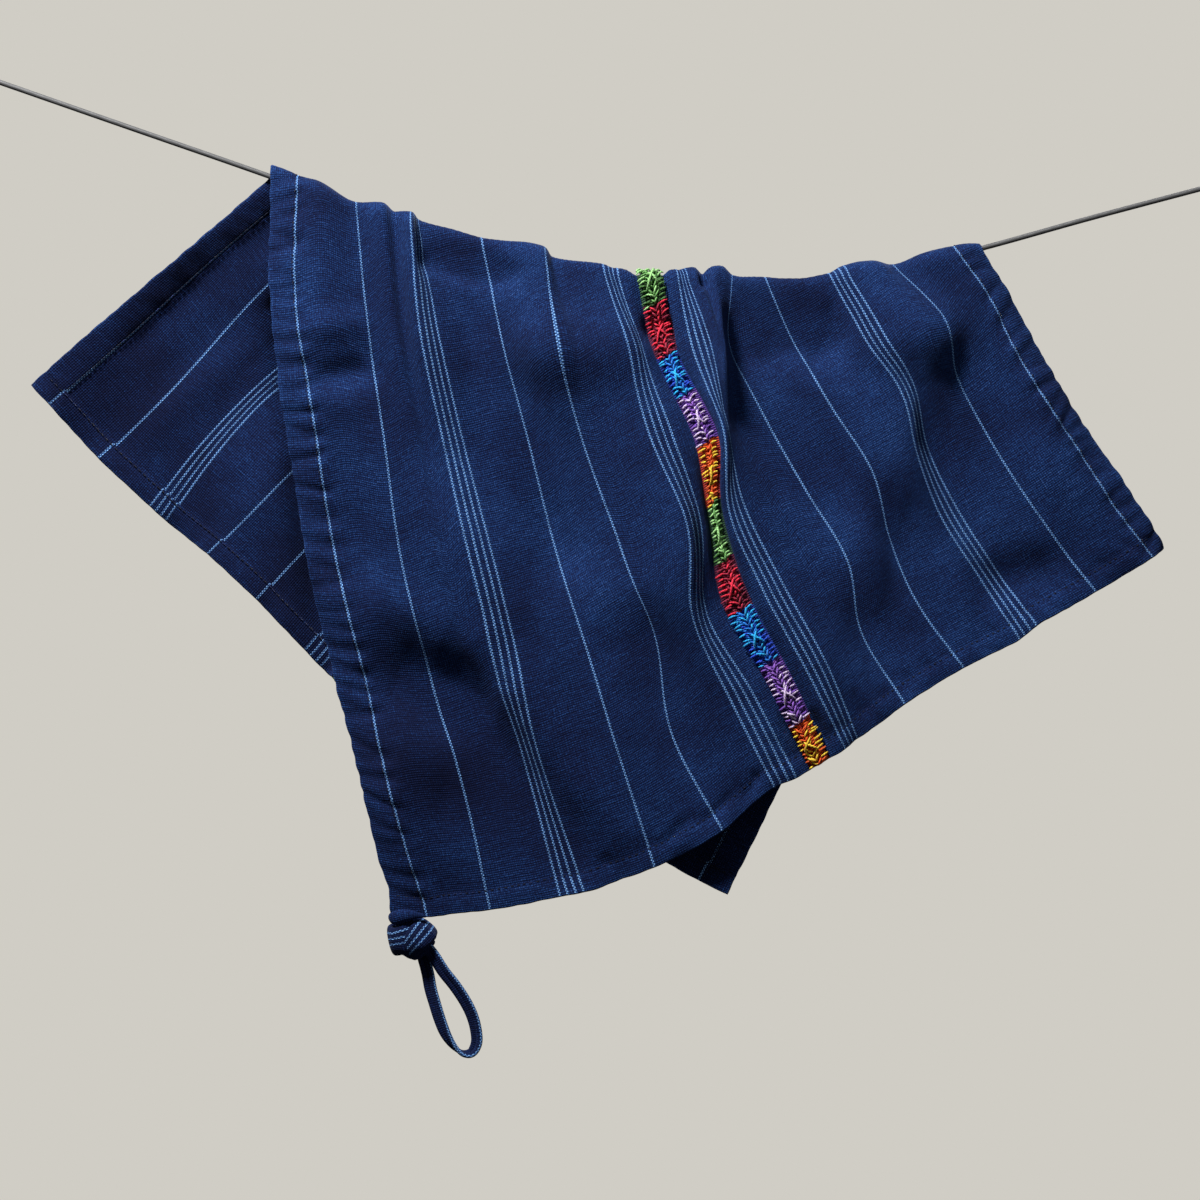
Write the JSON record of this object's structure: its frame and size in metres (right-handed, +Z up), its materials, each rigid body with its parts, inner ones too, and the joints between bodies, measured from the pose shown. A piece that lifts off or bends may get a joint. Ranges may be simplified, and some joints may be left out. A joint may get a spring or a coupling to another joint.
{
  "type": "tea towel hanging on a line",
  "caption": "Handwoven striped tea towel with an embroidered centre seam and a knotted hanging loop, draped over a taut line between two plain wall fittings",
  "frame": {"origin": "centre of the left fitting's flat back face, where the line is fixed", "axes": "+X along the line towards the right fitting, +Z up, -Y towards the viewer of the towel's front"},
  "size_m": [0.7226, 0.0398, 0.5785],
  "materials": {
    "indigo_cloth": "plain handwoven cotton with pale blue warp stripes",
    "embroidery_yarn": "multicolour stranded yarn",
    "woven_strap": "narrow strap of the same cloth",
    "grey_cord": "smooth dark grey cord",
    "grey_fitting": "satin grey"
  },
  "bodies": {
    "root": {"left_panel": "indigo_cloth", "right_panel": "indigo_cloth", "seam_embroidery": "embroidery_yarn", "hanging_loop": "woven_strap", "line": "grey_cord", "left_anchor": "grey_fitting", "right_anchor": "grey_fitting"}
  },
  "joints": []
}
